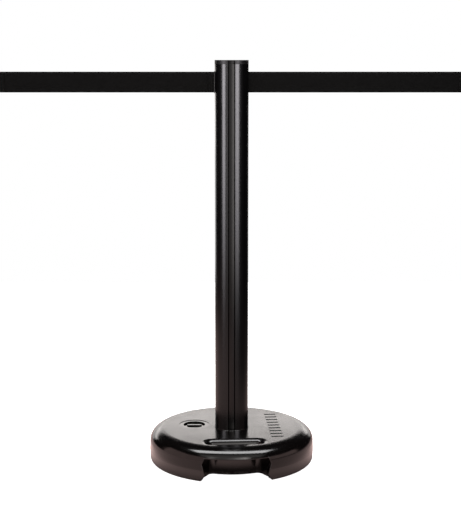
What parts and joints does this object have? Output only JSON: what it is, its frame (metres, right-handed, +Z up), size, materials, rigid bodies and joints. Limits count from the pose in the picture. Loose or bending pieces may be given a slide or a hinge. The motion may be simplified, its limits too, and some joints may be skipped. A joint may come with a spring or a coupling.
{
  "type": "retractable belt stanchion",
  "caption": "Crowd-control post on a fillable round base, with webbing that winds into the head and slots that take other posts' belt ends.",
  "frame": {"origin": "on the floor, on the post's axis", "axes": "+Z up the post, -Y towards the carrying handle (front), +X along the stanchion's own belt"},
  "size_m": [1.15, 0.4113, 1],
  "materials": {
    "base_plastic": "gloss",
    "black_plastic": "satin",
    "black_extrusion": "satin",
    "zinc_steel": "satin",
    "spring_steel": "satin",
    "bronze": "satin",
    "felt": "matte",
    "rubber": "matte",
    "webbing": "matte",
    "sand": "matte"
  },
  "bodies": {
    "stanchion": {"base_shell": "base_plastic", "sand_fill": "sand", "foot_plate": "zinc_steel", "foot_plate_screws": "zinc_steel", "tie_bolt": "zinc_steel", "tie_bolt_washer": "zinc_steel", "post_extrusion": "black_extrusion", "slot_stops": "black_plastic", "top_cap": "black_plastic", "cap_screws": "zinc_steel", "cassette_shell": "black_plastic", "cassette_lid": "black_plastic", "cassette_lid_screws": "zinc_steel", "spring_plate": "zinc_steel", "power_spring": "spring_steel", "guide_pins": "zinc_steel", "spindle": "zinc_steel", "spindle_circlip": "spring_steel", "felt_drag_washer": "felt"},
    "spool": {"spool": "black_plastic", "spool_bushes": "bronze", "belt_anchor_rod": "zinc_steel", "belt_roll": "webbing"},
    "belt_end": {"own_belt": "webbing", "belt_end_slider": "black_plastic", "belt_end_pin": "zinc_steel"},
    "next_belt_end": {"next_belt": "webbing", "docked_slider": "black_plastic", "docked_slider_pin": "zinc_steel", "far_slider": "black_plastic", "far_slider_pin": "zinc_steel"},
    "plug_seal": {"plug_o_ring": "rubber"},
    "filler_plug": {"filler_plug": "black_plastic"}
  },
  "joints": [
    {"name": "belt_pull", "type": "slide", "parent": "stanchion", "child": "belt_end", "axis": [1, 0, 0], "range_m": [-0.525, 1.45], "deforming": ["own_belt"]},
    {"name": "spool_spin", "type": "hinge", "parent": "stanchion", "child": "spool", "pos_m": [0, 0, 0.947], "axis": [0, 0, 1], "range_deg": [-4500, 1700], "deforming": ["power_spring"]},
    {"name": "next_belt_lift", "type": "slide", "parent": "stanchion", "child": "next_belt_end", "axis": [0, 0, 1], "range_m": [0, 0.08]},
    {"name": "plug_lift", "type": "slide", "parent": "stanchion", "child": "plug_seal", "axis": [0, 0, 1], "range_m": [0, 0.016]},
    {"name": "plug_turn", "type": "hinge", "parent": "plug_seal", "child": "filler_plug", "pos_m": [-0.095, 0.0165, 0.072], "axis": [0, 0, 1], "range_deg": [0, 1080]}
  ],
  "couplings": [
    {"joint": "spool_spin", "follows": "belt_pull", "rad_per_m": -52.77},
    {"joint": "plug_lift", "follows": "plug_turn", "m_per_rad": 0.00079577}
  ]
}
